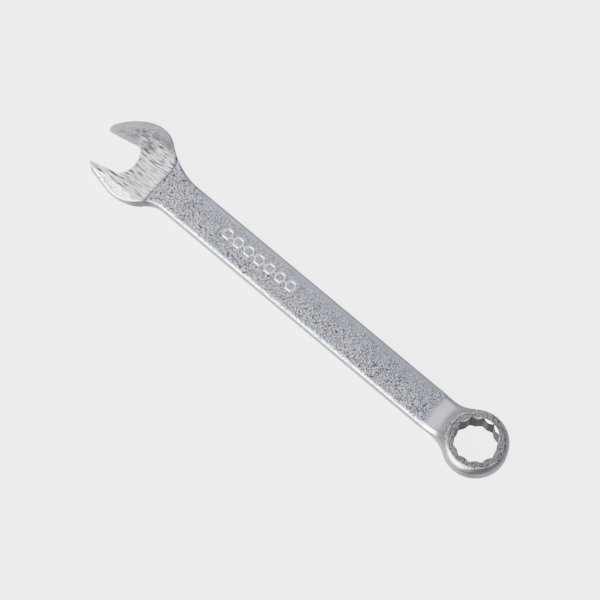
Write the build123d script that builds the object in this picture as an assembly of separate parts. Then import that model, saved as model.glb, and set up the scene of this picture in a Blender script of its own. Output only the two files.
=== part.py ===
from build123d import *
import math
import os

# Combination wrench, 13 mm: an open jaw at one end of a flat shank and a twelve-point ring at
# the other.  X runs along the shank towards the ring, Z is up with the marked face on top, and
# the origin lies under the middle of the bounding box.  While building, the origin is the ring
# centre and Z = 0 is the surface that both heads rest on.

# Overall layout
JAW_TO_RING = 145.0          # jaw centre to ring centre along the shank
MID_PLANE = 2.8              # forging mid plane above the rest surface

# Shank
SHANK_WIDTH = 13.4
SHANK_THICKNESS = 4.8
SHANK_EDGE_RADIUS = 1.7
SHORT_FLARE_RADIUS = 25.0    # hollow between shank and short jaw
LONG_FLARE_RADIUS = 11.0     # hollow between shank and long jaw
RING_FLARE_RADIUS = 7.0      # hollow between shank and ring

# Open end
JAW_OPENING = 13.2           # 13 mm flats plus clearance
JAW_ANGLE = 15.0             # jaw axis turned from the shank axis
HEAD_THICKNESS = 5.6
SHORT_JAW_RADIUS = 20.0      # outside of the jaw that points along the shank
SHORT_JAW_LEAN = 11.5        # where that arc turns into the shoulder, from the side
SHOULDER_RADIUS = 10.4       # tighter arc between the short jaw and the shank
SHOULDER_ALONG = 0.3         # its centre along the jaw axis
SHOULDER_SIDE = 4.65         # and beside it
SHOULDER_END = 160.0         # its hidden end, inside the shank
LONG_JAW_RADIUS = 13.85      # outside of the jaw that leans out
LONG_JAW_SHIFT = -1.0
TIP_REACH = 13.9             # jaw centre to jaw tips
TIP_HALF_WIDTH = 7.7         # jaw axis to the outside of the long tip
LONG_TIP_ANGLE = 62.0        # where the straight tip edge leaves the outside arc
THROAT_LONG = 3.4            # throat corner on the long jaw, along the jaw axis
THROAT_SHORT = 3.0           # throat corner on the short jaw
THROAT_FLOOR = 0.2           # deepest point of the throat
THROAT_FLOOR_SIDE = 2.0      # offset of the deepest point from the jaw axis
THROAT_CORNER_RADIUS = 1.2
FLAT_RADIUS = 10.4           # ground flat on the head
FLAT_SHIFT = 0.6             # ground flat centre beside the jaw axis
FLAT_END = 10.9              # ground flat ends this far along the shank from the jaw centre
DOME_RADIUS = 44.0           # crowned faces outside the ground flat

# Box end
BOX_OPENING = 13.1           # across flats of the twelve-point hole
BOX_TURN = 22.0              # a corner of the hole, measured from the shank axis
BOX_CHAMFER_RADIUS = 7.8
RING_RADIUS = 10.7
RING_THICKNESS = 9.8
RING_EDGE_RADIUS = 1.5
SCOOP_START = 18.4           # the ramp up to the ring starts here
SCOOP_END = 9.2              # and reaches the ring's face here
SCOOP_INSET = 1.3            # the ramp's foot is narrower than the shank on each side
SCOOP_FLARE = 7.0            # half width of the ramp at the ring centre

# Raised mark: a row of plain hexagon outlines
MARK_X = -92.0
MARK_Y = 0.9
MARK_COUNT = 7
MARK_PITCH = 4.5
MARK_SIZE = 4.4              # across the corners
MARK_LINE = 0.8
MARK_HEIGHT = 0.35

# Where the one forging is divided into its three regions
JAW_SPLIT = -127.0
RING_SPLIT = -20.0

REACH = 40.0                 # larger than any head, for cutting tools
TINY = 0.01
SLAB_OVERLAP = 0.2           # the shank slab reaches this far into the jaw head
SHANK_TOP = MID_PLANE + SHANK_THICKNESS / 2
SHANK_BOTTOM = MID_PLANE - SHANK_THICKNESS / 2
HEAD_TOP = MID_PLANE + HEAD_THICKNESS / 2

JAW_FRAME = Location((-JAW_TO_RING, 0, 0), (0, 0, 180 + JAW_ANGLE))


def slab_between(x_low, x_high):
    """A block that covers the wrench from x_low to x_high."""
    length = x_high - x_low
    return Pos((x_low + x_high) / 2, 0, 0) * Box(length, 2 * REACH, 2 * REACH)


def short_jaw():
    """Plan of the short jaw in the jaw's own frame: two arcs that run smoothly together."""
    lean = math.radians(SHORT_JAW_LEAN)
    end = math.radians(SHOULDER_END)
    turn = Vector(math.sin(lean), -math.cos(lean))
    shoulder = Vector(SHOULDER_ALONG, -SHOULDER_SIDE)
    centre = shoulder - turn * (SHORT_JAW_RADIUS - SHOULDER_RADIUS)
    drop = math.sqrt(SHORT_JAW_RADIUS ** 2 - (TIP_REACH - centre.X) ** 2)
    tip = Vector(TIP_REACH, centre.Y - drop)
    join = shoulder + turn * SHOULDER_RADIUS
    inner = Vector(math.cos(end), math.sin(end))
    tip_middle = centre + ((tip - centre).normalized() + turn).normalized() * SHORT_JAW_RADIUS
    middle = shoulder + (inner + turn).normalized() * SHOULDER_RADIUS
    last = shoulder + inner * SHOULDER_RADIUS
    with BuildSketch() as jaw:
        with BuildLine():
            ThreePointArc(tip, tip_middle, join)
            ThreePointArc(join, middle, last)
            Polyline(last, (0, 0), (TIP_REACH, 0), tip)
        make_face()
    return jaw.sketch


def head_outline():
    """Plan of the jaw head, jaw opening not yet cut, in the jaw's own frame."""
    long_side = Pos(TIP_REACH - REACH / 2, REACH / 2) * Rectangle(REACH, REACH)
    angle = math.radians(LONG_TIP_ANGLE)
    leave_x = LONG_JAW_SHIFT + LONG_JAW_RADIUS * math.cos(angle)
    leave_y = LONG_JAW_RADIUS * math.sin(angle)
    long_tip = Polygon(
        (0, 0), (TIP_REACH, 0), (TIP_REACH, TIP_HALF_WIDTH), (leave_x, leave_y), align=None
    )
    long_jaw = Pos(LONG_JAW_SHIFT, 0) * Circle(LONG_JAW_RADIUS) & long_side
    return short_jaw() + long_jaw + long_tip


def wrench_outline():
    """Plan of the whole forging with hollow flares at both heads."""
    middle = -JAW_TO_RING / 2
    outline = Pos(middle, 0) * Rectangle(JAW_TO_RING, SHANK_WIDTH)
    outline += Circle(RING_RADIUS)
    outline += JAW_FRAME * head_outline()
    for radius, x_side, y_sides in (
        (RING_FLARE_RADIUS, 1, (-1, 1)),
        (SHORT_FLARE_RADIUS, -1, (1,)),
        (LONG_FLARE_RADIUS, -1, (-1,)),
    ):
        corners = [
            v
            for v in outline.vertices()
            if abs(abs(v.Y) - SHANK_WIDTH / 2) < TINY
            and (v.X - middle) * x_side > 0
            and math.copysign(1, v.Y) in y_sides
        ]
        outline = fillet(corners, radius)
    return outline


def shank_slab(outline):
    """The outline at shank thickness with rounded edges, ending inside the two heads."""
    start = FLAT_END - SLAB_OVERLAP - JAW_TO_RING
    window = Pos(start / 2, 0) * Rectangle(-start, 2 * REACH)
    slab = Pos(0, 0, SHANK_BOTTOM) * extrude(outline & window, SHANK_THICKNESS)
    rims = [
        edge
        for face in (slab.faces().sort_by(Axis.Z)[0], slab.faces().sort_by(Axis.Z)[-1])
        for edge in face.edges()
        if start + TINY < edge.center().X < -TINY
    ]
    return fillet(rims, SHANK_EDGE_RADIUS)


def jaw_head(outline):
    """Jaw head: flat ground faces, crowned rims, still without its opening."""
    sink = math.sqrt(DOME_RADIUS ** 2 - FLAT_RADIUS ** 2) - HEAD_THICKNESS / 2
    lens = Pos(0, 0, -sink) * Sphere(DOME_RADIUS) & Pos(0, 0, sink) * Sphere(DOME_RADIUS)
    lens_in_place = JAW_FRAME * Pos(0, FLAT_SHIFT, MID_PLANE) * lens
    plate = extrude(outline, HEAD_THICKNESS)
    return plate & lens_in_place & slab_between(-JAW_TO_RING - REACH, FLAT_END - JAW_TO_RING)


def jaw_opening():
    """Cutter for the jaw: parallel sides and an arched throat."""
    side = JAW_OPENING / 2
    with BuildSketch() as gap:
        with BuildLine():
            Polyline((THROAT_SHORT, -side), (REACH, -side), (REACH, side), (THROAT_LONG, side))
            ThreePointArc(
                (THROAT_LONG, side), (THROAT_FLOOR, THROAT_FLOOR_SIDE), (THROAT_SHORT, -side)
            )
        make_face()
        corners = gap.vertices().filter_by(lambda v: v.X < REACH / 2)
        fillet(corners, THROAT_CORNER_RADIUS)
    return JAW_FRAME * extrude(gap.sketch, REACH, both=True)


def ring_body():
    """Ring with rounded rims and the hollow ramp that joins it to the shank."""
    ring = Pos(0, 0, RING_THICKNESS / 2) * Cylinder(RING_RADIUS, RING_THICKNESS)
    ring = fillet(ring.edges().filter_by(GeomType.CIRCLE), RING_EDGE_RADIUS)
    rise = RING_THICKNESS - SHANK_TOP
    run = SCOOP_START - SCOOP_END
    radius = (run ** 2 + rise ** 2) / (2 * rise)
    half_turn = math.asin(run / radius) / 2
    bend = (
        -SCOOP_START + radius * math.sin(half_turn),
        SHANK_TOP + radius * (1 - math.cos(half_turn)),
    )
    with BuildPart() as ramp:
        with BuildSketch(Plane.XZ):
            with BuildLine():
                ThreePointArc(
                    (-SCOOP_START, SHANK_TOP), bend, (-SCOOP_END, RING_THICKNESS)
                )
                Polyline(
                    (-SCOOP_END, RING_THICKNESS),
                    (0, RING_THICKNESS),
                    (0, MID_PLANE),
                    (-SCOOP_START, MID_PLANE),
                    (-SCOOP_START, SHANK_TOP),
                )
            make_face()
        extrude(amount=REACH, both=True)
    foot = SHANK_WIDTH / 2 - SCOOP_INSET
    plan = Polygon(
        (-SCOOP_START, foot), (-SCOOP_START, -foot), (0, -SCOOP_FLARE), (0, SCOOP_FLARE), align=None
    )
    wedge = extrude(plan, RING_THICKNESS) & ramp.part & slab_between(-SCOOP_START, 2 - SCOOP_END)
    return ring + wedge


def box_opening():
    """Cutter for the twelve-point hole with its lead-in cones."""
    corner_radius = BOX_OPENING / 2 / math.cos(math.radians(30))
    star = RegularPolygon(corner_radius, 6) + Rot(0, 0, 30) * RegularPolygon(corner_radius, 6)
    hole = Rot(0, 0, BOX_TURN) * extrude(star, REACH, both=True)
    cone_height = BOX_CHAMFER_RADIUS
    upper = Cone(0, BOX_CHAMFER_RADIUS, cone_height, align=(Align.CENTER, Align.CENTER, Align.MAX))
    lower = Cone(BOX_CHAMFER_RADIUS, 0, cone_height, align=(Align.CENTER, Align.CENTER, Align.MIN))
    return hole + Pos(0, 0, RING_THICKNESS) * upper + lower


def raised_mark():
    """Seven hexagon outlines standing up from the shank's top face."""
    ring = RegularPolygon(MARK_SIZE / 2, 6) - RegularPolygon(MARK_SIZE / 2 - MARK_LINE, 6)
    first = -(MARK_COUNT - 1) / 2 * MARK_PITCH
    places = [Pos(MARK_X + first + i * MARK_PITCH, MARK_Y, SHANK_TOP) for i in range(MARK_COUNT)]
    return [place * extrude(ring, MARK_HEIGHT) for place in places]


def write(name, shape):
    export_step(shape, "parts/" + name + ".step")
    print(name, round(shape.volume, 1), shape.is_valid)


outline = wrench_outline()
forging = shank_slab(outline) + jaw_head(outline) + ring_body()
forging = forging - jaw_opening() - box_opening()

box = forging.bounding_box()
to_row = Pos(-(box.min.X + box.max.X) / 2, -(box.min.Y + box.max.Y) / 2, -box.min.Z)

regions = {
    "open_end_head": slab_between(-JAW_TO_RING - REACH, JAW_SPLIT),
    "shank": slab_between(JAW_SPLIT, RING_SPLIT),
    "box_end_head": slab_between(RING_SPLIT, REACH),
}

os.makedirs("parts", exist_ok=True)
for name, block in regions.items():
    write(name, to_row * (forging & block))
write("raised_mark", Compound(children=[to_row * piece for piece in raised_mark()]))
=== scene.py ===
import math

import bmesh
import bpy
import numpy as np
from mathutils import Matrix, Vector


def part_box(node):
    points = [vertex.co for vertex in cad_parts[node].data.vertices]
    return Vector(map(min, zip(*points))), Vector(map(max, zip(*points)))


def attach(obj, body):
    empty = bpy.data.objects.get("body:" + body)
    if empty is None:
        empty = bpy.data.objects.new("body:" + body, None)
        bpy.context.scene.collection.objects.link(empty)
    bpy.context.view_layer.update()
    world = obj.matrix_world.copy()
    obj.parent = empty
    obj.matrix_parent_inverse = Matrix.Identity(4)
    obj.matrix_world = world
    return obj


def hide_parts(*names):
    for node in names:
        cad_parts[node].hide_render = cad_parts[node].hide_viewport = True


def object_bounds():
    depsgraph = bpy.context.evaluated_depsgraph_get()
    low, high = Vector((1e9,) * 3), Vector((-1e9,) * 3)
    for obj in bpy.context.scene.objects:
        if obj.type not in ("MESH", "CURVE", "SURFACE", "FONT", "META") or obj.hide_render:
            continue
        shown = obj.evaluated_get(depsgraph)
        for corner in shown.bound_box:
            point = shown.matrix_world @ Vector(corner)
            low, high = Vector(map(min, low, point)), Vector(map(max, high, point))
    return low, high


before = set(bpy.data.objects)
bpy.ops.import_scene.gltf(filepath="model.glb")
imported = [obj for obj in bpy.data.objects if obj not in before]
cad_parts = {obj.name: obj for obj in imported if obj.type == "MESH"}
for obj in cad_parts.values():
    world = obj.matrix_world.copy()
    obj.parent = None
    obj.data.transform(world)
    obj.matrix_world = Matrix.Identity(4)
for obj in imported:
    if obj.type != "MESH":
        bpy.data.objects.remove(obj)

START_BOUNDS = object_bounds()

# Dimensions in millimetres, as in the part: X runs along the shank from the ring centre, Z from
# the mid plane of the shank.
JAW_TO_RING = 145.0
MID_PLANE = 2.8
SHANK_HALF_WIDTH = 6.7
SHANK_HALF_THICKNESS = 2.4
SHANK_CROWN = 0.12
SHANK_EDGE = 1.1
RING_RADIUS = 10.7
RING_TOP = 7.0
RING_EDGE = 1.7
RING_UNDER_EDGE = 2.6
SCOOP_START = 18.4
SCOOP_END = 9.6
SCOOP_EDGE = 2.2

JAW_ANGLE = math.radians(15)
JAW_HALF_OPENING = 6.6
THROAT = ((3.4, -JAW_HALF_OPENING), (0.2, -2.0), (3.0, JAW_HALF_OPENING))
THROAT_STEPS = 33
THROAT_TRIM = 4
THROAT_CORNER = 1.2
SHORT_RADIUS = 20.0
SHORT_LEAN = math.radians(11.5)
SHOULDER_RADIUS = 10.4
SHOULDER_ALONG = 0.3
SHOULDER_ACROSS = 4.65
LONG_RADIUS = 13.85
LONG_SHIFT = -1.0
LONG_TIP_ANGLE = math.radians(62)
TIP_REACH = 13.85
TIP_HALF_WIDTH = 7.7
TIP_ROUND = 0.8
SHORT_FLARE = 26.0
LONG_FLARE = 9.0
RING_FLARE = 12.0
FLARE_FADE = 3.0
HEAD_HALF_THICKNESS = 2.8
# Distance along the jaw axis and the height of the rim there, on each jaw.
LONG_RIM = ((-10, -6.5, -2.0, 1.0, 5.5, 9.1, 11.6), (2.75, 2.6, 1.75, 1.44, 1.52, 2.27, 2.75))
SHORT_RIM = ((-11, -8.0, -6.0, -2.7, 1.0, 9.0, 13.0), (2.5, 2.1, 1.9, 1.5, 1.2, 1.2, 1.5))
HEAD_EDGE = 0.45
SHORT_BEVEL_SLOPE = 0.26
LONG_BEVEL_SLOPE = 0.44
FLAT_END = -134.1
FLAT_CURVE = 0.073
FLAT_CURVE_START = 4.0
FLARE_END = -127.0

BOX_OPENING = 13.1
BOX_TURN = math.radians(22)
BOX_CHAMFER = 7.4

MARK_X = -92.0
MARK_Y = 0.9
MARK_COUNT = 7
MARK_PITCH = 4.5
MARK_RADIUS = 2.2
MARK_LINE = 0.8
MARK_HEIGHT = 0.35
# Section of a hexagon's line: across in line widths, up in mark heights.
MARK_PROFILE = (
    (-0.5, -0.6), (-0.42, 0.45), (-0.22, 0.95), (0.0, 1.0),
    (0.22, 0.95), (0.42, 0.45), (0.5, -0.6),
)

# Limits of the grid that the forging is meshed on, and of the cutters that pass through it.
NET_LOW = (-JAW_TO_RING - 17, -16, -MID_PLANE - 1)
NET_HIGH = (RING_RADIUS + 1, 17, RING_TOP + 1)
CUT_LOW = -9
CUT_HIGH = 12
CUT_REACH = 40
CONE_EXTRA = 2.0
SHARP_ANGLE = math.radians(32)

# Metals. A tone scales the metal's colour; a range is the part of a noise that it spans.
PLATING = (0.565, 0.567, 0.59)
COOL_PLATING = (0.52, 0.532, 0.622)
GROUND_STEEL = (0.96, 0.96, 0.97)
PEBBLE_SIZE = 0.27
PEBBLE_HEIGHT = 0.12
PEBBLE_RANGE = (0.45, 0.545)
PEBBLE_TONE = (-0.06, 1.72)
STREAK_WIDTH = 0.20
STREAK_STRETCH = 17.0
STREAK_TURN = 5.0
STREAK_DETAIL = 0.8
STREAK_HEIGHT = 0.17
STREAK_RANGE = (0.455, 0.535)
STREAK_TONE = (0.20, 2.3)
BROAD_WIDTH = STREAK_WIDTH * 1.9
BROAD_STRETCH = 7.0
BROAD_RANGE = (0.43, 0.57)
BROAD_TONE = (0.78, 1.2)
CLOUD_SIZE = 7.0
CLOUD_RANGE = (0.3, 0.7)
CLOUD_TONE = (0.94, 1.06)
ROUGHNESS_RANGE = (0.4, 0.6)
PEBBLE_ROUGHNESS = (0.30, 0.22)
STREAK_ROUGHNESS = (0.38, 0.26)
FINE_SIZE = 0.5
FINE_TONE_RANGE = (0.35, 0.65)
FINE_TONE = (0.9, 1.08)
FINE_ROUGHNESS_RANGE = (0.3, 0.7)
# Turns the noise out of line with the flat faces, where a slice of it would lose contrast.
NOISE_TILT = 34.0

# Where each finish lies, and where light and shade are painted. FACING is how squarely a surface
# looks up or down.
GRAIN_FACING = (0.35, 0.8)
FACE_FACING = (0.6, 0.95)
WALL_FACING = 0.3
CHAMFER_FACING = 0.9
GROUND_HEIGHT = (2.5, 2.72)
GROUND_END = -0.15
JAW_SIDES = (-2.0, 2.0)
JAW_WALL_END = 5.0
# JAW_FADE and SHORT_JAW_FADE only place painted light and shade on the ground faces.
JAW_FADE = (-9.0, -1.0)
SHORT_JAW_FADE = (0.5, 6.0)
HEAD_FADE = (0.0, 3.0)
# A painted shade line along the step where the ground flat ends: its width, and how far inside
# the outline it starts.
STEP_SHADE_WIDTH = 0.35
STEP_SHADE_INSET = 0.6

# Camera
CAMERA_AIM = (-73.70, -0.106, 0.0)
CAMERA_DISTANCE = 0.8063
CAMERA_TILT = math.radians(19.08)
CAMERA_TURN = math.radians(41.45)
CAMERA_LENS = 150
CAMERA_SENSOR = 36

# Floor and light. The profile is radius and height, in metres.
FLOOR_PROFILE = (
    (0.0, 0.0), (2.0, 0.0), (2.6, 0.16), (3.04, 0.6),
    (3.2, 1.2), (2.6, 2.4), (1.4, 3.1), (0.0, 3.3),
)
FLOOR_SIDES = 48
FLOOR_GLOW = 4.3
TENT_GLOW = 0.25
LIGHT_COLOUR = (0.97, 0.98, 1.0, 1)
# Direction, angle of full strength and angle where it ends in degrees, strength.
SOFT_BOXES = (
    ((-0.22, -0.95, 0.12), 15, 40, 22.0),
    ((-0.05, -0.55, 0.83), 8, 26, 7.5),
    ((-0.90, 0.05, 0.45), 10, 80, 0.3),
    ((-0.70, 0.20, 0.68), 12, 44, 1.4),
    ((0.80, -0.12, 0.60), 8, 30, 2.2),
    ((-0.40, -0.30, -0.87), 5, 34, 0.95),
    ((0.45, 0.10, -0.89), 10, 38, 0.5),
    ((-0.10, 0.95, -0.10), 30, 80, 0.33),
)

GRID = 0.3

ring_low, ring_high = (Vector(c) * 1000 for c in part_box("box_end_head"))
ORIGIN = Vector((ring_high.x - RING_RADIUS, (ring_low.y + ring_high.y) / 2, MID_PLANE))
TO_ROW = Matrix.Scale(0.001, 4) @ Matrix.Translation(ORIGIN)


def smooth_step(x, low, high):
    t = np.clip((x - low) / (high - low), 0, 1)
    return t * t * (3 - 2 * t)


def smooth_min(a, b, k):
    h = np.clip(0.5 + 0.5 * (b - a) / k, 0, 1)
    return b + (a - b) * h - k * h * (1 - h)


def flare(x, y, distance, radius, side, centre, centre_radius):
    """Adds a hollow of a given radius between one side of the shank and a round head."""
    cx, cy = centre
    edge = side * SHANK_HALF_WIDTH
    by = edge + side * radius
    sense = 1 if cx < -JAW_TO_RING / 2 else -1
    bx = cx + sense * math.sqrt((centre_radius + radius) ** 2 - (by - cy) ** 2)
    corner = cx + sense * math.sqrt(centre_radius ** 2 - (edge - cy) ** 2)
    reach = math.hypot(corner - bx, radius)
    turned = (x - bx) * (cy - by) - (y - by) * (cx - bx)
    away = np.hypot(x - bx, y - by)
    in_sector = ((x - bx) * sense < 0) & (turned * side * sense < 0) & (away < reach + FLARE_FADE)
    fade = np.clip(1 - (away - reach) / FLARE_FADE, 0, 1)
    added = np.where(away < reach, radius - away, (radius - reach) * fade)
    return np.where(in_sector, np.minimum(distance, added), distance)


def round_both(a, b, radius):
    """Inside both a and b, with the meeting edge rounded."""
    u = np.maximum(a + radius, 0)
    v = np.maximum(b + radius, 0)
    return np.minimum(-radius, np.maximum(a, b)) + np.hypot(u, v)


def jaw_axes(x, y):
    """Distances along and across the jaw axis from the jaw centre."""
    c, s = math.cos(JAW_ANGLE), math.sin(JAW_ANGLE)
    x = x + JAW_TO_RING
    return -x * c - y * s, -x * s + y * c


def head_plan(x, y):
    along, across = jaw_axes(x, y)
    lean = (math.sin(SHORT_LEAN), math.cos(SHORT_LEAN))
    back_off = SHORT_RADIUS - SHOULDER_RADIUS
    u, v = along - SHOULDER_ALONG, across - SHOULDER_ACROSS
    shoulder = np.hypot(u, v) - SHOULDER_RADIUS
    outer = np.hypot(u + back_off * lean[0], v + back_off * lean[1]) - SHORT_RADIUS
    short = np.where(u * lean[1] - v * lean[0] > 0, outer, shoulder)
    arc = np.hypot(along - LONG_SHIFT, across) - LONG_RADIUS
    leave = np.array((
        LONG_SHIFT + LONG_RADIUS * math.cos(LONG_TIP_ANGLE),
        -LONG_RADIUS * math.sin(LONG_TIP_ANGLE),
    ))
    tip = np.array((TIP_REACH, -TIP_HALF_WIDTH))
    run = (tip - leave) / np.linalg.norm(tip - leave)
    edge = (along - leave[0]) * run[1] - (across - leave[1]) * run[0]
    past = (along - leave[0]) * run[0] + (across - leave[1]) * run[1] > 0
    long_side = np.where(past, edge, arc)
    side = np.where(across > 0, short, long_side)
    return round_both(side, along - TIP_REACH, TIP_ROUND)


def plan(x, y):
    """Plan distance to the outline, negative inside."""
    bar = np.maximum(np.abs(y) - SHANK_HALF_WIDTH, np.maximum(x, -JAW_TO_RING - x))
    ring = np.hypot(x, y) - RING_RADIUS
    outline = np.minimum(np.minimum(bar, head_plan(x, y)), ring)
    shoulder = jaw_to_plan(SHOULDER_ALONG, SHOULDER_ACROSS)
    outline = flare(x, y, outline, SHORT_FLARE, 1, shoulder, SHOULDER_RADIUS)
    outline = flare(x, y, outline, LONG_FLARE, -1, jaw_to_plan(LONG_SHIFT, 0), LONG_RADIUS)
    for side in (1, -1):
        outline = flare(x, y, outline, RING_FLARE, side, (0, 0), RING_RADIUS)
    return outline


def flat_side(x, y):
    """Distance beyond the line where the ground flat ends, towards the ring."""
    return x - FLAT_END + FLAT_CURVE * np.maximum(y - FLAT_CURVE_START, 0) ** 2


def faces(x, y, depth):
    """Heights of the top and bottom faces and the radius of their rims."""
    radius = np.hypot(x, y)
    crown = SHANK_CROWN * (1 - np.clip(y / SHANK_HALF_WIDTH, -1, 1) ** 2)
    shank = SHANK_HALF_THICKNESS + crown * smooth_step(radius, SCOOP_END, SCOOP_START + 4)
    flat = shank + (HEAD_HALF_THICKNESS - shank) * smooth_step(-flat_side(x, y), -0.1, 0.35)
    headness = smooth_step(-x, -FLARE_END, -FLAT_END + 1.0)
    along, across = jaw_axes(x, y)
    short_side = smooth_step(across, *JAW_SIDES)
    long_rim, short_rim = np.interp(along, *LONG_RIM), np.interp(along, *SHORT_RIM)
    rim = long_rim * (1 - short_side) + short_rim * short_side
    rim += (SHANK_HALF_THICKNESS + 0.4 - rim) * (1 - headness)
    slope = LONG_BEVEL_SLOPE + (SHORT_BEVEL_SLOPE - LONG_BEVEL_SLOPE) * short_side
    half = smooth_min(flat, rim + slope * depth, 0.1)
    rise = RING_TOP - SHANK_HALF_THICKNESS
    run = SCOOP_START - SCOOP_END
    bend = (run ** 2 + rise ** 2) / (2 * rise)
    climb = np.clip(SCOOP_START - radius, 0, run + 3)
    scoop = half + bend - np.sqrt(bend ** 2 - np.minimum(climb, bend - 0.1) ** 2)
    top = smooth_min(scoop, np.full_like(scoop, RING_TOP), 0.8)
    near = smooth_step(-radius, -15.0, -11.0)
    bottom = -half - (MID_PLANE - SHANK_HALF_THICKNESS) * near
    edge = SHANK_EDGE + (HEAD_EDGE - SHANK_EDGE) * headness
    neck = smooth_step(-radius, -SCOOP_START - 2, -SCOOP_START + 4)
    edge = edge + (SCOOP_EDGE - edge) * neck
    near = smooth_step(-radius, -13.0, -10.5)
    return top, bottom, edge + (RING_EDGE - edge) * near, edge + (RING_UNDER_EDGE - edge) * near


def forging(points):
    """Distance-like field of the forging before machining."""
    x, y, z = points
    outline = plan(x, y)
    top, bottom, edge, under_edge = faces(x, y, np.maximum(-outline, 0))
    edge = np.where(z > 0, edge, under_edge)
    return round_both(outline, np.maximum(z - top, bottom - z), edge)


def gradient(points, step=0.02):
    parts = []
    for axis in range(3):
        offset = np.zeros((3, 1))
        offset[axis] = step
        parts.append(forging(points + offset) - forging(points - offset))
    return np.array(parts) / (2 * step)


def surface_net(low, high, pitch):
    """Quads on the zero level of the field."""
    axes = [np.arange(l, h + pitch, pitch) for l, h in zip(low, high)]
    shape = [len(a) for a in axes]
    grid = np.meshgrid(*axes, indexing="ij")
    value = forging(np.array([g.ravel() for g in grid])).reshape(shape)
    inside = value < 0
    cell = [n - 1 for n in shape]
    total = np.zeros([3] + cell)
    count = np.zeros(cell)
    for axis in range(3):
        others = [a for a in range(3) if a != axis]
        a = np.take(value, range(shape[axis] - 1), axis)
        b = np.take(value, range(1, shape[axis]), axis)
        crossing = (a < 0) != (b < 0)
        t = np.where(crossing, a / np.where(crossing, a - b, 1), 0)
        where = [np.take(grid[k], range(shape[axis] - 1), axis) for k in range(3)]
        where[axis] = where[axis] + t * pitch
        for du in (0, 1):
            for dv in (0, 1):
                pick = [slice(None)] * 3
                pick[others[0]] = slice(du, du + cell[others[0]])
                pick[others[1]] = slice(dv, dv + cell[others[1]])
                pick = tuple(pick)
                hit = crossing[pick]
                count += hit
                for k in range(3):
                    total[k] += where[k][pick] * hit
    used = count > 0
    index = np.full(cell, -1)
    index[used] = np.arange(used.sum())
    vertices = total[:, used] / count[used]
    quads = []
    for axis in range(3):
        u, v = (axis + 1) % 3, (axis + 2) % 3
        pick = [slice(1, -1)] * 3
        pick[axis] = slice(0, shape[axis] - 1)
        here = inside[tuple(pick)]
        pick[axis] = slice(1, shape[axis])
        there = inside[tuple(pick)]
        spots = np.argwhere(here != there)
        forward = here[tuple(spots.T)]
        spots = spots + 1
        spots[:, axis] -= 1
        corners = []
        for du, dv in ((0, 0), (1, 0), (1, 1), (0, 1)):
            at = spots.copy()
            at[:, u] -= du
            at[:, v] -= dv
            corners.append(index[tuple(at.T)])
        quad = np.array(corners).T
        quad[~forward] = quad[~forward][:, ::-1]
        quads.append(quad)
    return vertices, np.concatenate(quads)


def settle(vertices, rounds=4):
    """Moves the net's vertices onto the surface."""
    for _ in range(rounds):
        slope = gradient(vertices)
        size = np.maximum((slope ** 2).sum(0), 0.05)
        step = forging(vertices) / size
        vertices = vertices - np.clip(step, -0.15, 0.15) * slope
    return vertices


def new_object(name, vertices, polygons):
    mesh = bpy.data.meshes.new(name)
    faces_of_ints = [tuple(int(i) for i in p) for p in polygons]
    mesh.from_pydata([tuple(v) for v in vertices], [], faces_of_ints)
    mesh.update()
    obj = bpy.data.objects.new(name, mesh)
    bpy.context.scene.collection.objects.link(obj)
    return obj


def prism(name, outline, low, high):
    """A closed prism over a plan outline given anticlockwise."""
    n = len(outline)
    vertices = [(x, y, low) for x, y in outline] + [(x, y, high) for x, y in outline]
    caps = [tuple(range(n))[::-1], tuple(range(n, 2 * n))]
    sides = [(i, (i + 1) % n, n + (i + 1) % n, n + i) for i in range(n)]
    return new_object(name, vertices, caps + sides)


def jaw_to_plan(along, across):
    c, s = math.cos(JAW_ANGLE), math.sin(JAW_ANGLE)
    return -JAW_TO_RING - along * c - across * s, -along * s + across * c


def arc_through(a, b, c, steps):
    """Points of the circular arc from a to c that passes through b."""
    a, b, c = (Vector(p) for p in (a, b, c))
    d = 2 * (a.x * (b.y - c.y) + b.x * (c.y - a.y) + c.x * (a.y - b.y))
    ux = (a.length_squared * (b.y - c.y) + b.length_squared * (c.y - a.y)
          + c.length_squared * (a.y - b.y)) / d
    uy = (a.length_squared * (c.x - b.x) + b.length_squared * (a.x - c.x)
          + c.length_squared * (b.x - a.x)) / d
    centre = Vector((ux, uy))
    start, end = (math.atan2(p.y - uy, p.x - ux) % math.tau for p in (a, c))
    radius = (a - centre).length
    angles = np.linspace(start, end, steps)
    return [(ux + radius * math.cos(t), uy + radius * math.sin(t)) for t in angles]


def rounded(points, radii, steps=8):
    """A polygon with some of its corners rounded."""
    result = []
    n = len(points)
    for i, (point, radius) in enumerate(zip(points, radii)):
        p = Vector(point)
        if radius == 0:
            result.append(tuple(p))
            continue
        before = (Vector(points[i - 1]) - p).normalized()
        after = (Vector(points[(i + 1) % n]) - p).normalized()
        half = before.angle(after) / 2
        reach = radius / math.tan(half)
        a, b = p + before * reach, p + after * reach
        for k in range(steps + 1):
            t = k / steps
            result.append(tuple(a * (1 - t) ** 2 + p * 2 * t * (1 - t) + b * t ** 2))
    return result


def jaw_cutter():
    """The gap between the jaws, left long past their tips."""
    keep = arc_through(*THROAT, THROAT_STEPS)[THROAT_TRIM:-THROAT_TRIM]
    mouth = [(CUT_REACH, -JAW_HALF_OPENING), (CUT_REACH, JAW_HALF_OPENING)]
    outline = mouth + [THROAT[2]] + keep[::-1] + [THROAT[0]]
    radii = [0, 0, THROAT_CORNER] + [0] * len(keep) + [THROAT_CORNER]
    outline = [jaw_to_plan(a, b) for a, b in rounded(outline, radii)]
    area = sum(a[0] * b[1] - b[0] * a[1] for a, b in zip(outline, outline[1:] + outline[:1]))
    return prism("jaw_cutter", outline if area > 0 else outline[::-1], CUT_LOW, CUT_HIGH)


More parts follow.
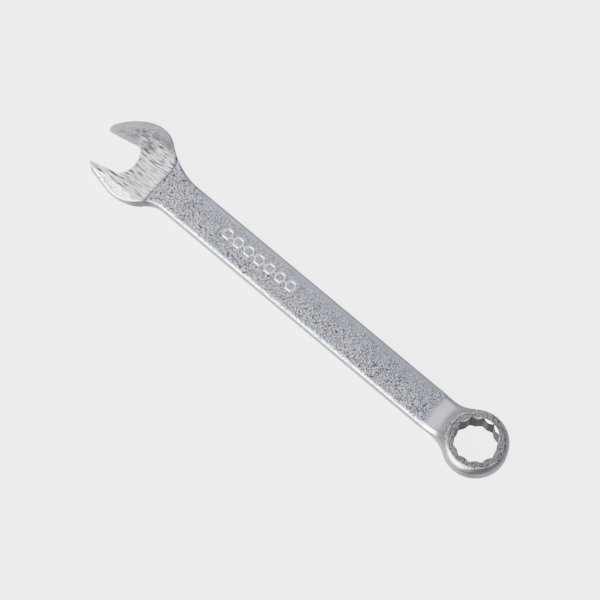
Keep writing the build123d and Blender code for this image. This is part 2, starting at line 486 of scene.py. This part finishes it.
def box_cutter():
    """The twelve-point hole."""
    corner = BOX_OPENING / 2 / math.cos(math.radians(30))
    tooth = BOX_OPENING / 2 / math.cos(math.radians(15))
    outline = []
    for k in range(24):
        r = tooth if k % 2 else corner
        t = BOX_TURN + k * math.radians(15)
        outline.append((r * math.cos(t), r * math.sin(t)))
    return prism("box_cutter", outline, CUT_LOW, CUT_HIGH)


def cone_cutter(name, level, sign):
    """Lead-in cone at one end of the hole."""
    n = 96
    wide_radius = BOX_CHAMFER + CONE_EXTRA
    wide_level = level + sign * CONE_EXTRA
    ring = [(math.cos(k * math.tau / n), math.sin(k * math.tau / n)) for k in range(n)]
    wide = [(x * wide_radius, y * wide_radius, wide_level) for x, y in ring]
    tip = (0, 0, level - sign * BOX_CHAMFER)
    cap = tuple(range(n))
    sides = [((i + 1) % n, i, n) for i in range(n)]
    if sign < 0:
        cap = cap[::-1]
        sides = [s[::-1] for s in sides]
    return new_object(name, wide + [tip], [cap] + sides)


def cut(obj, cutter):
    modifier = obj.modifiers.new("cut", "BOOLEAN")
    modifier.operation = "DIFFERENCE"
    modifier.solver = "EXACT"
    modifier.object = cutter
    graph = bpy.context.evaluated_depsgraph_get()
    mesh = bpy.data.meshes.new_from_object(obj.evaluated_get(graph))
    obj.modifiers.clear()
    old = obj.data
    obj.data = mesh
    bpy.data.meshes.remove(old)
    bpy.data.objects.remove(cutter)


def build_forging():
    vertices, quads = surface_net(NET_LOW, NET_HIGH, GRID)
    vertices = settle(vertices)
    obj = new_object("wrench_forging", vertices.T, quads)
    for cutter in (
        jaw_cutter(),
        box_cutter(),
        cone_cutter("cone_top", RING_TOP, 1),
        cone_cutter("cone_bottom", -MID_PLANE, -1),
    ):
        cut(obj, cutter)
    return obj


def build_mark():
    """The row of raised hexagon outlines, with soft edges."""
    vertices, polygons = [], []
    base = SHANK_HALF_THICKNESS + SHANK_CROWN * 0.9
    corner_line = MARK_LINE / math.cos(math.pi / 6)
    line_middle = MARK_RADIUS - MARK_LINE / 2 / math.cos(math.pi / 6)
    m = len(MARK_PROFILE)
    for i in range(MARK_COUNT):
        cx = MARK_X + (i - (MARK_COUNT - 1) / 2) * MARK_PITCH
        for k in range(6):
            t = k * math.pi / 3
            for across, up in MARK_PROFILE:
                r = line_middle + across * corner_line
                x, y = cx + r * math.cos(t), MARK_Y + r * math.sin(t)
                vertices.append((x, y, base + up * MARK_HEIGHT))
        for k in range(6):
            here = (i * 6 + k) * m
            there = (i * 6 + (k + 1) % 6) * m
            for j in range(m):
                j2 = (j + 1) % m
                polygons.append((here + j, there + j, there + j2, here + j2))
    return new_object("raised_relief", vertices, polygons)


def finish_mesh(obj):
    """Moves a mesh to the row's frame, keeps it inside the CAD box and sets its shading."""
    obj.data.transform(TO_ROW)
    count = len(obj.data.vertices)
    place = np.empty(count * 3)
    obj.data.vertices.foreach_get("co", place)
    place = np.clip(place.reshape(-1, 3), START_BOUNDS[0], START_BOUNDS[1])
    obj.data.vertices.foreach_set("co", place.ravel())
    work = bmesh.new()
    work.from_mesh(obj.data)
    bmesh.ops.recalc_face_normals(work, faces=work.faces)
    work.to_mesh(obj.data)
    work.free()
    obj.data.polygons.foreach_set("use_smooth", [True] * len(obj.data.polygons))
    obj.data.set_sharp_from_angle(angle=SHARP_ANGLE)
    obj.data.update()


class Shade:
    """Short ways to wire up a material's nodes."""

    def __init__(self, name):
        self.material = bpy.data.materials.new(name)
        self.material.use_nodes = True
        self.nodes = self.material.node_tree.nodes
        self.links = self.material.node_tree.links
        self.shader = self.nodes["Principled BSDF"]
        self.shader.inputs["Metallic"].default_value = 1.0
        self.place = self.nodes.new("ShaderNodeTexCoord").outputs["Object"]

    def noise(self, size, detail, stretch=1.0, turn=0.0):
        """Noise with features of a size in millimetres, stretched along a plan direction."""
        mapping = self.nodes.new("ShaderNodeMapping")
        mapping.vector_type = "TEXTURE"
        rotation = (math.radians(NOISE_TILT), 0, math.radians(turn))
        mapping.inputs["Rotation"].default_value = rotation
        scale = (stretch * size / 1000, size / 1000, size / 1000)
        mapping.inputs["Scale"].default_value = scale
        self.links.new(self.place, mapping.inputs["Vector"])
        texture = self.nodes.new("ShaderNodeTexNoise")
        texture.inputs["Scale"].default_value = 1.0
        texture.inputs["Detail"].default_value = detail
        self.links.new(mapping.outputs["Vector"], texture.inputs["Vector"])
        return texture.outputs["Fac"]

    def remap(self, source, low, high, start, end):
        node = self.nodes.new("ShaderNodeMapRange")
        names = ("From Min", "From Max", "To Min", "To Max")
        for name, value in zip(names, (low, high, start, end)):
            node.inputs[name].default_value = value
        self.links.new(source, node.inputs["Value"])
        return node.outputs["Result"]

    def math(self, operation, *values):
        node = self.nodes.new("ShaderNodeMath")
        node.operation = operation
        for socket, value in zip(node.inputs, values):
            self.feed(socket, value)
        return node.outputs[0]

    def mix(self, factor, a, b, blend="MIX"):
        node = self.nodes.new("ShaderNodeMix")
        node.data_type = "RGBA"
        node.blend_type = blend
        for place, value in ((0, factor), (6, a), (7, b)):
            self.feed(node.inputs[place], value)
        return node.outputs[2]

    def feed(self, socket, value):
        if isinstance(value, bpy.types.NodeSocket):
            self.links.new(value, socket)
        elif isinstance(value, tuple):
            socket.default_value = (*value, 1)
        else:
            socket.default_value = value

    def attribute(self, name):
        node = self.nodes.new("ShaderNodeAttribute")
        node.attribute_name = name
        return node.outputs["Fac"]

    def relief(self, height):
        """Turns a height in millimetres into a bumped normal."""
        node = self.nodes.new("ShaderNodeBump")
        node.inputs["Strength"].default_value = 1.0
        node.inputs["Distance"].default_value = 0.001
        self.links.new(height, node.inputs["Height"])
        self.links.new(node.outputs["Normal"], self.shader.inputs["Normal"])


def forging_material():
    """Grainy plating, smooth on the ramp to the ring, with scratches on the ground faces, and
    light and shade painted into its colour from the vertices.
    """
    m = Shade("plated_forging")
    ground, grain, painted_shading, cool = (m.attribute(n) for n in ("ground", "grain", "painted_shading", "cool"))
    pebble = m.noise(PEBBLE_SIZE, 0.0)
    streak = m.noise(STREAK_WIDTH, STREAK_DETAIL, STREAK_STRETCH, STREAK_TURN)
    broad = m.noise(BROAD_WIDTH, 1.0, BROAD_STRETCH, STREAK_TURN)
    cloud = m.noise(CLOUD_SIZE, 2.0)
    pits = m.remap(pebble, *PEBBLE_RANGE, *PEBBLE_TONE)
    pits = m.math("ADD", 1.0, m.math("MULTIPLY", grain, m.math("SUBTRACT", pits, 1.0)))
    cuts = m.remap(streak, *STREAK_RANGE, *STREAK_TONE)
    cuts = m.math("MULTIPLY", cuts, m.remap(broad, *BROAD_RANGE, *BROAD_TONE))
    # Painted light and shade from the vertices, times a random cloudy tone.
    painted_shading_and_cloud = m.math("MULTIPLY", painted_shading, m.remap(cloud, *CLOUD_RANGE, *CLOUD_TONE))
    tone = m.math("MULTIPLY", m.mix(ground, pits, cuts), painted_shading_and_cloud)
    metal = m.mix(ground, m.mix(cool, PLATING, COOL_PLATING), GROUND_STEEL)
    m.links.new(m.mix(1.0, metal, tone, "MULTIPLY"), m.shader.inputs["Base Color"])
    bumps = m.math("MULTIPLY", pebble, m.math("MULTIPLY", grain, PEBBLE_HEIGHT))
    grooves = m.math("MULTIPLY", streak, STREAK_HEIGHT)
    m.relief(m.mix(ground, bumps, grooves))
    pebble_roughness = m.remap(pebble, *ROUGHNESS_RANGE, *PEBBLE_ROUGHNESS)
    streak_roughness = m.remap(streak, *ROUGHNESS_RANGE, *STREAK_ROUGHNESS)
    roughness = m.mix(ground, pebble_roughness, streak_roughness)
    m.links.new(roughness, m.shader.inputs["Roughness"])
    return m.material


def plain_metal(name, colour, roughness, height):
    m = Shade(name)
    fine = m.noise(FINE_SIZE, 2.0)
    tone = m.remap(fine, *FINE_TONE_RANGE, *FINE_TONE)
    m.links.new(m.mix(1.0, colour, tone, "MULTIPLY"), m.shader.inputs["Base Color"])
    m.relief(m.math("MULTIPLY", fine, height))
    spread = m.remap(fine, *FINE_ROUGHNESS_RANGE, roughness * 0.9, roughness * 1.1)
    m.links.new(spread, m.shader.inputs["Roughness"])
    return m.material


def read_vectors(items, name):
    """A vector property of every vertex or polygon, as three rows."""
    values = np.empty(len(items) * 3)
    items.foreach_get(name, values)
    return values.reshape(-1, 3).T


def to_local(points):
    return points * 1000 - np.array(ORIGIN)[:, None]


def paint_masks(obj):
    """Where the forging is ground, grainy or cooler, and where light and shade are painted on it,
    as numbers on its vertices.
    """
    x, y, z = to_local(read_vectors(obj.data.vertices, "co"))
    facing = np.abs(read_vectors(obj.data.vertices, "normal")[2])
    radius = np.hypot(x, y)
    depth = -plan(x, y)
    beyond = flat_side(x, y)
    along, across = jaw_axes(x, y)
    short_side = smooth_step(across, *JAW_SIDES)
    on_head = smooth_step(-beyond, *HEAD_FADE)
    on_shank = smooth_step(x, -126, -116) * smooth_step(-x, 16, 22)
    on_face = smooth_step(facing, *FACE_FACING)
    ring_top = smooth_step(-radius, -10.6, -9.4) * on_face
    scoop = smooth_step(-radius, -19.0, -15.5) * smooth_step(radius, 9.6, 11.0) * (z > 0)

    level = np.abs(z) + 0.3 * short_side * (GROUND_HEIGHT[1] - np.abs(z))
    ground = (beyond < GROUND_END) * smooth_step(level, *GROUND_HEIGHT)

    grain = (1 - scoop) * smooth_step(facing, *GRAIN_FACING)
    grain *= 1 - 0.7 * short_side * on_head * smooth_step(-depth, -4.5, -2.0)
    far_side = 0.35 * smooth_step(y, -1.5, 2.5) + 0.4 * smooth_step(y, 4.0, 5.4)
    grain *= 1 - on_shank * far_side
    grain *= 1 - 0.3 * ring_top

    # Painted shade: the ramp to the ring and the ring's top are darkened.
    painted_shading = 1 - 0.12 * scoop - 0.38 * ring_top
    # Painted light and shade on the ground faces: lighter near the shank, darker out on the jaws,
    # darker still on the short jaw.
    jaws = smooth_step(along, *JAW_FADE)
    short_jaw = smooth_step(across, *SHORT_JAW_FADE)
    painted_shading += on_head * ground * (0.20 - 0.62 * jaws - 0.30 * short_jaw)
    # Painted light and shade on the bevels around the head: lighter on the long jaw, darker on
    # the short jaw.
    painted_shading += on_head * (1 - ground) * (0.15 - 0.43 * short_side)
    # Painted shade: a dark line along the step where the ground flat ends, on the top side.
    step_shade = np.clip(1 - np.abs(beyond + 0.1) / STEP_SHADE_WIDTH, 0, 1)
    painted_shading -= 0.30 * (step_shade * (depth > STEP_SHADE_INSET) * (z > 0))

    cool = on_face * smooth_step(radius, 11.5, 15.0) * (1 - 0.6 * on_head)
    for name, value in (("ground", ground), ("grain", grain), ("painted_shading", painted_shading), ("cool", cool)):
        layer = obj.data.attributes.new(name, "FLOAT", "POINT")
        layer.data.foreach_set("value", np.asarray(value, dtype=np.float32))


def assign_walls(obj, materials):
    """Gives the machined walls their own finish, and the hole's walls a near-black painted shade.
    """
    mesh = obj.data
    for m in materials:
        mesh.materials.append(m)
    x, y, _ = to_local(read_vectors(mesh.polygons, "center"))
    facing = np.abs(read_vectors(mesh.polygons, "normal")[2])
    radius = np.hypot(x, y)
    _, across = jaw_axes(x, y)
    upright = facing < WALL_FACING
    between = np.abs(across) < JAW_HALF_OPENING + 0.01
    slot = np.zeros(len(mesh.polygons), dtype=np.int32)
    slot[(x < -JAW_TO_RING + JAW_WALL_END) & between & upright] = 1
    slot[(radius < BOX_CHAMFER + 0.2) & upright] = 2
    slot[(radius < BOX_CHAMFER) & (facing > WALL_FACING) & (facing < CHAMFER_FACING)] = 1
    mesh.polygons.foreach_set("material_index", slot)


def build_camera():
    tilt, turn = CAMERA_TILT, CAMERA_TURN
    aim = TO_ROW @ Vector(CAMERA_AIM)
    data = bpy.data.cameras.new("camera")
    data.sensor_width = CAMERA_SENSOR
    data.lens = CAMERA_LENS
    camera = bpy.data.objects.new("camera", data)
    bpy.context.scene.collection.objects.link(camera)
    right = Vector((math.cos(turn), math.sin(turn), 0))
    lean = math.sin(tilt)
    back = Vector((math.sin(turn) * lean, -math.cos(turn) * lean, math.cos(tilt)))
    up = back.cross(right)
    turned = Matrix((right, up, back)).transposed()
    camera.matrix_world = Matrix.Translation(aim + back * CAMERA_DISTANCE) @ turned.to_4x4()
    bpy.context.scene.camera = camera


def build_floor():
    """A pale floor that curves up and closes into a pale dome."""
    n = FLOOR_SIDES
    vertices, polygons = [], []
    for r, z in FLOOR_PROFILE:
        for k in range(n):
            t = k * math.tau / n
            vertices.append((r * math.cos(t), r * math.sin(t), z))
    for j in range(len(FLOOR_PROFILE) - 1):
        for k in range(n):
            k2 = (k + 1) % n
            polygons.append((j * n + k, j * n + k2, (j + 1) * n + k2, (j + 1) * n + k))
    floor = new_object("floor", vertices, polygons)
    m = bpy.data.materials.new("pale_floor")
    m.use_nodes = True
    shader = m.node_tree.nodes["Principled BSDF"]
    shader.inputs["Base Color"].default_value = (0.25, 0.25, 0.25, 1)
    shader.inputs["Roughness"].default_value = 0.9
    shader.inputs["Specular IOR Level"].default_value = 0.0
    shader.inputs["Emission Color"].default_value = (1, 1, 1, 1)
    shader.inputs["Emission Strength"].default_value = FLOOR_GLOW
    floor.data.materials.append(m)
    floor.visible_glossy = False
    floor.visible_diffuse = False
    floor.visible_shadow = False


def build_light():
    """A studio tent: a faint glow from all round, with soft boxes set in it."""
    world = bpy.data.worlds.new("studio")
    bpy.context.scene.world = world
    world.use_nodes = True
    nodes, links = world.node_tree.nodes, world.node_tree.links
    nodes.clear()
    out = nodes.new("ShaderNodeOutputWorld")
    background = nodes.new("ShaderNodeBackground")
    coord = nodes.new("ShaderNodeTexCoord")
    total = None
    for direction, inner, outer, gain in SOFT_BOXES:
        dot = nodes.new("ShaderNodeVectorMath")
        dot.operation = "DOT_PRODUCT"
        dot.inputs[1].default_value = Vector(direction).normalized()
        links.new(coord.outputs["Generated"], dot.inputs[0])
        lobe = nodes.new("ShaderNodeMapRange")
        lobe.interpolation_type = "SMOOTHSTEP"
        lobe.inputs["From Min"].default_value = math.cos(math.radians(outer))
        lobe.inputs["From Max"].default_value = math.cos(math.radians(inner))
        lobe.inputs["To Min"].default_value = 0
        lobe.inputs["To Max"].default_value = gain
        links.new(dot.outputs["Value"], lobe.inputs["Value"])
        add = nodes.new("ShaderNodeMath")
        add.inputs[1].default_value = TENT_GLOW
        if total is not None:
            links.new(total, add.inputs[1])
        links.new(lobe.outputs["Result"], add.inputs[0])
        total = add.outputs[0]
    links.new(total, background.inputs["Strength"])
    background.inputs["Color"].default_value = LIGHT_COLOUR
    links.new(background.outputs[0], out.inputs["Surface"])


body = build_forging()
finish_mesh(body)
relief = build_mark()
finish_mesh(relief)

plating = forging_material()
machined = plain_metal("machined_wall", (0.53, 0.53, 0.54), 0.36, 0.01)
# The near-black colour of the hole's walls is painted shade for the inside of the hole.
bore_painted_shade = plain_metal("painted_shade_bore_wall", (0.10, 0.104, 0.108), 0.45, 0.02)
paint_masks(body)
assign_walls(body, (plating, machined, bore_painted_shade))
relief.data.materials.append(plain_metal("mark_plating", (0.74, 0.76, 0.82), 0.5, 0.01))
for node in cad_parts.values():
    node.data.materials.clear()
    node.data.materials.append(machined)

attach(body, "root")
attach(relief, "root")
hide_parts("open_end_head", "shank", "box_end_head")
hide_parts("raised_mark")

build_camera()
build_floor()
build_light()
